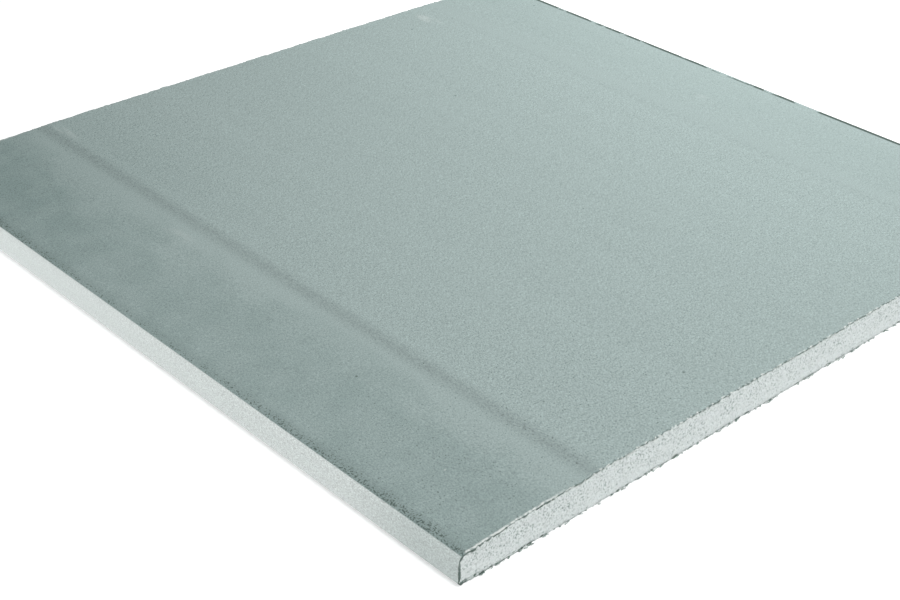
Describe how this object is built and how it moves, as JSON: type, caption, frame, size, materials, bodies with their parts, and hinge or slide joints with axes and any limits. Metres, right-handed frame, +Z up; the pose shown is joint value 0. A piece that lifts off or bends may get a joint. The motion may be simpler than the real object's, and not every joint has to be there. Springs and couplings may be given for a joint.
{
  "type": "drywall sheet",
  "caption": "Cut panel of drywall: a gypsum core between a grey-green face paper and a plain back paper, with tapered paper-wrapped long edges and rough cut ends.",
  "frame": {"origin": "middle of the back, on the surface that the panel lies on", "axes": "+X across the panel from bound edge to bound edge, +Y along the bound edges from cut end to cut end, +Z up through the face"},
  "size_m": [0.31, 0.3, 0.0125],
  "materials": {
    "gypsum": "matte, white and finely porous, rough where it was cut",
    "face_paper": "matte grey-green paper with a fine fibre grain and faint scuffs",
    "back_paper": "matte plain grey recycled paper, torn where it was cut"
  },
  "bodies": {
    "root": {"gypsum_core": "gypsum", "face_paper": "face_paper", "back_paper": "back_paper"}
  },
  "joints": []
}
